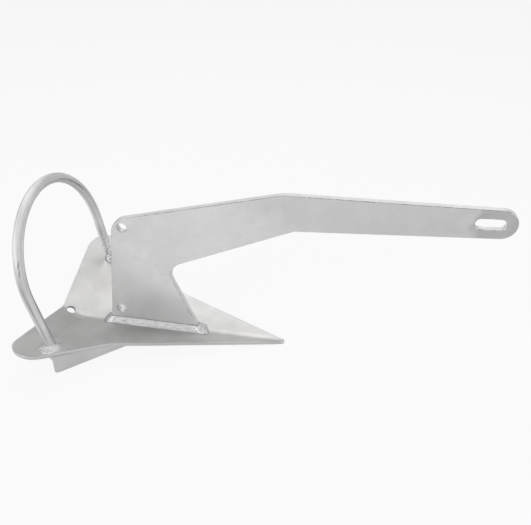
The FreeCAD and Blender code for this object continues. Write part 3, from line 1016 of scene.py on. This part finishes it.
@dataclass
class SkidWelds:
    """The fillet welds along the top of each skid, inside and outside."""

    finish: Material
    bead: Bead = Bead(crown=0.08, ripple_height=0.2 * MM, lump_height=0.45 * MM, lump_size=4.0 * MM,
                      shade_skirt=0.4 * MM, toe_wander=0.3 * MM, toe_shade=0.25)
    pitch: float = 0.8 * MM
    ear: EarEdge = EarEdge()
    climb: float = 0.85
    corner_cover: float = 2.4 * MM

    def ends(self, node: str) -> tuple[Station, Station]:
        """Reads both end sections of a plain fillet from its CAD prism.

        Args:
            node: the CAD node's name.

        Returns:
            The rear and front sections.
        """
        points = lone_points(node)
        centre = sum(points, Vector()) / len(points)
        far = max(points, key=lambda p: (p - centre).length)
        axis = (far - centre).normalized()
        corners = [[p for p in points if (p - centre).dot(axis) * sign > 0] for sign in (1, -1)]
        sections = []
        for ring in corners:
            root = min(ring, key=lambda p: abs((p - ring[ring.index(p) - 1]).length
                                               - (p - ring[ring.index(p) - 2]).length))
            upper, lower = sorted((p for p in ring if p is not root), key=lambda p: -p.z)
            sections.append(Station(root, upper, lower))
        return sections[0], sections[1]

    def round_edge(self, station: Station, side: Side) -> Station:
        """Turns the upper toe up onto the ear's edge, where its underside is too narrow for the weld.

        Args:
            station: the section with its full leg along the underside.
            side: which ear.

        Returns:
            The section as it is laid.
        """
        leg = station.upper - station.root
        shelf = max(0.0, self.ear.inset(station.root, side))
        wide = leg.dot(self.ear.outward(side))
        if wide <= shelf:
            return station
        kept = shelf / wide
        upper = station.root + leg * kept + Vector((0.0, 0.0, leg.length * (1 - kept) * self.climb))
        return Station(station.root, upper, station.lower, self.corner_cover * (1 - kept))

    def build(self) -> None:
        """Lays all four welds."""
        for side in Side:
            for face in Face:
                node = f"skid_weld_{side.word}_{face.value}"
                first, last = self.ends(node)
                length = (last.root - first.root).length
                mesh = self.bead.lay(lambda share: self.round_edge(first.blend(last, share), side), length,
                                     self.pitch)
                piece("bead", node, mesh, self.finish)


@dataclass
class FootWelds:
    """The low pad of weld at each foot of the roll bar, out to the ear's edge.

    Places on the pad are given by a distance rearward along the ear's edge and one outboard, from the foot.
    The outline's are in millimetres, and its waves are given by rate, seed and depth.
    """

    finish: Material
    ground: Ground
    ear: EarEdge = EarEdge()
    middle_out: float = 13.0 * MM
    outline: tuple[Span, ...] = (
        (21, 9), (18, 2), (12, -4), (8, -9), (0, -10.5), (-8, -9), (-13, -3), (-16, 6), (-20, 14), (-18, 24),
        (-6, 30), (8, 33), (15, 32), (20, 26), (21, 17))
    outline_waves: tuple[Place, ...] = ((4.0, 4.0, 0.05), (11.0, 9.0, 0.09))
    corner_slack: float = 0.001
    foot_top: float = 0.075
    height: float = 2.2 * MM
    low_share: float = 0.4
    lump_size: Span = (8.0 * MM, 2.6 * MM)
    swell: float = 0.8 * MM
    groove_places: Span = (24.5 * MM, 29.5 * MM)
    groove_width: float = 0.9 * MM
    groove_depth: float = 0.5 * MM
    groove_wave: float = 6.0 * MM
    pit_size: Span = (2.6 * MM, 2.2 * MM)
    pit_span: Span = (0.1, 0.4)
    pit_depth: float = 0.3 * MM
    front_span: Span = (2 * MM, 14 * MM)
    inner_span: Span = (2 * MM, 9 * MM)
    rear_span: Span = (9 * MM, 17 * MM)
    fade: float = 0.10
    front_fade: float = 0.40
    # Spans and depths of the painted shade along the pad's outline and in its grooves and pits, and of the
    # darker front.
    rim_span: Span = (0.94, 1.0)
    inner_rim_span: Span = (0.86, 0.94)
    groove_shade: float = 0.8
    pit_shade: float = 0.9
    front_shade: float = 0.45
    rim_shade: float = 0.6
    sink: float = 1.2 * MM
    spokes: int = 150
    rings: int = 30

    def foot(self, side: Side) -> Vector:
        """Middle of the bar's foot, from the lowest ring of its CAD mesh."""
        points = lone_points("roll_bar", lambda point: point.y * side.value > 0 and point.z < self.foot_top)
        return sum(points, Vector()) / len(points)

    def rim(self, angle: float) -> float:
        """Distance from the pad's middle to its uneven outline.

        Args:
            angle: the direction, from rearward round to outboard.

        Returns:
            The distance in metres.
        """
        way = Vector((math.cos(angle), math.sin(angle)))
        reach = 0.0
        for first, last in zip(self.outline, self.outline[1:] + self.outline[:1]):
            start = Vector(first) * MM - Vector((0.0, self.middle_out))
            step = (Vector(last) - Vector(first)) * MM
            turn = way.x * step.y - way.y * step.x
            if turn == 0.0:
                continue
            out = (start.x * step.y - start.y * step.x) / turn
            share = (start.x * way.y - start.y * way.x) / turn
            if out > 0 and -self.corner_slack <= share <= 1 + self.corner_slack:
                reach = max(reach, out)
        waves = (depth * noise.noise(Vector((way.x * rate, way.y * rate, seed)))
                 for rate, seed, depth in self.outline_waves)
        return reach * (1 + sum(waves))

    def lift(self, rearward: float, outboard: float, share: float) -> tuple[float, float]:
        """Height and shade of the pad at a place.

        Args:
            rearward: distance along the ear's edge from the foot.
            outboard: distance out from it.
            share: place between the pad's middle (0) and its outline (1).

        Returns:
            The height over the fluke in metres, and how dark it is there.
        """
        ahead = smooth_step(-rearward, *self.front_span)
        behind = smooth_step(rearward, *self.rear_span)
        inboard = 1 - smooth_step(outboard, *self.inner_span)
        body = 1 - smooth_step(share, 1 - self.fade - self.front_fade * ahead, 1.0)
        lumps = rough(Vector((rearward / self.lump_size[0], outboard / self.lump_size[1], 0.3)))
        along = 0.5 + 0.5 * noise.noise(Vector((rearward / self.groove_wave, 5.0, 0.0)))
        groove = along * sum(max(0.0, 1 - abs(outboard - place) / self.groove_width)
                             for place in self.groove_places)
        pit = holes(rearward / self.pit_size[0], outboard / self.pit_size[1], 8.0, self.pit_span)
        pit *= max(ahead, inboard, behind)
        # Grooves, pits and the pad's outline are darkened as painted shade; the pad's front is darker too.
        shade = max(groove * self.groove_shade, pit * self.pit_shade, ahead * self.front_shade,
                    smooth_step(share, *self.rim_span) * self.rim_shade,
                    smooth_step(share, *self.inner_rim_span) * inboard)
        low = 1 - self.low_share * inboard
        height = (self.height + lumps * self.swell) * low - groove * self.groove_depth - pit * self.pit_depth
        return height * body, shade

    def pad(self, side: Side) -> bmesh.types.BMesh:
        """Makes the pad on top of the ear.

        Args:
            side: which foot.

        Returns:
            The pad as a closed mesh.
        """
        foot = self.foot(side)
        rearward, outward = self.ear.rearward(side), self.ear.outward(side)
        top = [(k / self.rings, False) for k in range(1, self.rings + 1)]
        rings = []
        for share, buried in top + [(1.0, True), (0.5, True)]:
            ring = []
            for i in range(self.spokes):
                angle = 2 * math.pi * i / self.spokes
                reach = self.rim(angle) * share
                along, out = reach * math.cos(angle), self.middle_out + reach * math.sin(angle)
                base = self.ground.at(foot + rearward * along + outward * out)
                height, shade = self.lift(along, out, share)
                base.z += -self.sink if buried else height
                ring.append(Spot(base, along, out, shade))
            rings.append(ring)
        return skin(rings)

    def build(self) -> None:
        """Makes the pad of each foot."""
        for side in Side:
            piece("pad", f"roll_bar_weld_{side.word}", self.pad(side), self.finish)


# Studio


@dataclass(frozen=True)
class Softbox:
    """A rectangular lamp. Its level is how bright a white card gets at the aim point, where 1 is white."""

    name: str
    place: Place
    width: float
    height: float
    level: float

    def hang(self, aim: Vector) -> None:
        """Adds the lamp to the scene.

        Args:
            aim: the point it faces.
        """
        place = Vector(self.place)
        lamp = bpy.data.lights.new(self.name, "AREA")
        lamp.shape = "RECTANGLE"
        lamp.size = self.width
        lamp.size_y = self.height
        lamp.energy = self.level * (math.pi * (aim - place).length) ** 2
        made = bpy.data.objects.new(self.name, lamp)
        made.location = place
        made.rotation_euler = (aim - place).to_track_quat("-Z", "Y").to_euler()
        bpy.context.scene.collection.objects.link(made)


@dataclass
class Studio:
    """A pale floor, a soft world, three softboxes and the camera."""

    paper: FloorFinish = FloorFinish()
    floor_half: float = 14.0
    sky_fill: float = 0.18
    seen_sky: float = 0.955
    lamp_aim: Place = (-0.05, 0.0, 0.14)
    lamps: tuple[Softbox, ...] = (
        Softbox("overhead_softbox", (-0.10, 0.66, 1.85), 2.8, 1.9, 0.57),
        Softbox("front_softbox", (-1.3, -1.5, 1.0), 1.4, 1.0, 0.41),
        Softbox("right_softbox", (1.8, -0.5, 0.9), 1.4, 1.2, 0.22))
    camera_place: Place = (0.1351, -0.7478, 0.6957)
    camera_yaw: float = math.radians(9.53)
    camera_dip: float = math.radians(34.96)
    camera_roll: float = math.radians(0.6)
    lens: float = 39.74
    sensor: float = 36.0
    sight: float = 100.0

    def floor(self) -> None:
        """Lays the floor under the anchor."""
        h = self.floor_half
        data = bpy.data.meshes.new("studio_floor")
        data.from_pydata([(-h, -h, 0.0), (h, -h, 0.0), (h, h, 0.0), (-h, h, 0.0)], [], [(0, 1, 2, 3)])
        data.materials.append(self.paper.build())
        floor = bpy.data.objects.new("studio_floor", data)
        bpy.context.scene.collection.objects.link(floor)

    def sky(self) -> None:
        """A soft even fill, which the camera and the metal see as a pale backdrop."""
        world = bpy.data.worlds.new("studio_air")
        bpy.context.scene.world = world
        nodes = Wiring(world)
        rays = seen_rays(nodes, self.paper.reflected)
        strength = nodes.spread(rays, 0.0, 1.0, self.sky_fill, self.seen_sky)
        back = nodes.add("Background", {"Color": paint(1.0), "Strength": strength})
        nodes.finish(back, "OutputWorld")

    def camera(self) -> None:
        """The camera, at the photo's place and angle."""
        lens = bpy.data.cameras.new("photo_camera")
        lens.sensor_fit = "HORIZONTAL"
        lens.sensor_width = self.sensor
        lens.lens = self.lens
        lens.clip_end = self.sight
        made = bpy.data.objects.new("photo_camera", lens)
        yaw = Matrix.Rotation(self.camera_yaw, 4, "Z")
        tilt = Matrix.Rotation(math.pi / 2 - self.camera_dip, 4, "X")
        roll = Matrix.Rotation(self.camera_roll, 4, "Z")
        made.matrix_world = Matrix.Translation(self.camera_place) @ (yaw @ tilt @ roll)
        bpy.context.scene.collection.objects.link(made)
        bpy.context.scene.camera = made

    def build(self) -> None:
        """Sets up the whole studio."""
        bpy.context.scene.view_settings.view_transform = "Standard"
        self.floor()
        self.sky()
        for lamp in self.lamps:
            lamp.hang(Vector(self.lamp_aim))
        self.camera()
        log.info("studio: floor, sky, %d softboxes and camera", len(self.lamps))


def main() -> None:
    """Builds the anchor's looks and the studio."""
    logging.basicConfig(level=logging.INFO, format="%(name)s: %(message)s")
    # The toe's nose gets a lighter copy of the weld finish as painted light; the pads' copy is lighter still.
    side_zinc = WeldFinish("weld_zinc", 0.68).build()
    lit_toe_zinc = WeldFinish("lit_toe_weld_zinc", 0.77).build()
    foot_zinc = WeldFinish("bright_weld_zinc", 0.88).build()
    Plates().dress()
    RollBar().dress()
    ground = Ground()
    ShankWeld(side_zinc, lit_toe_zinc, ground).build()
    SkidWelds(side_zinc).build()
    FootWelds(foot_zinc, ground).build()
    Studio().build()


if __name__ == "__main__":
    main()
